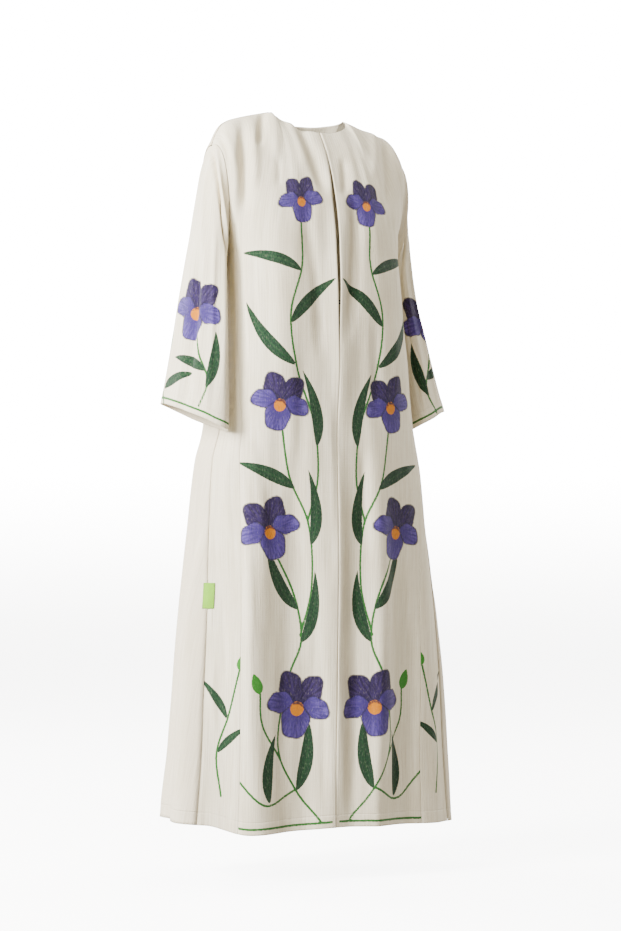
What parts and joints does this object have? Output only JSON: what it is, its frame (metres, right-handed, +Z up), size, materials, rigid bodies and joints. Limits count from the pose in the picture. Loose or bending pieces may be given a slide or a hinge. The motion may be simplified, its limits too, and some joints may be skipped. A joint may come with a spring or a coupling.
{
  "type": "abaya",
  "caption": "Long open-front abaya in ivory linen with wide sleeves, A-line sides and a floral print, shaped as worn and open at neck, cuffs and hem.",
  "frame": {"origin": "midway between the two points where the neckline crosses the shoulders, where the wearer's shoulders hold the garment", "axes": "+Z up, the front faces -Y, the wearer's right is -X"},
  "size_m": [0.6434, 0.3361, 1.485],
  "materials": {
    "linen": "plain woven linen with slubs and a soft dry sheen",
    "label_cloth": "fine woven tape",
    "hook_metal": "dark lacquered wire"
  },
  "bodies": {
    "root": {"front_right": "linen", "front_left": "linen", "side_gore_right": "linen", "side_gore_left": "linen", "back": "linen", "sleeve_right": "linen", "sleeve_left": "linen", "side_label": "label_cloth", "chest_hook": "hook_metal", "chest_eye": "hook_metal"}
  },
  "joints": []
}
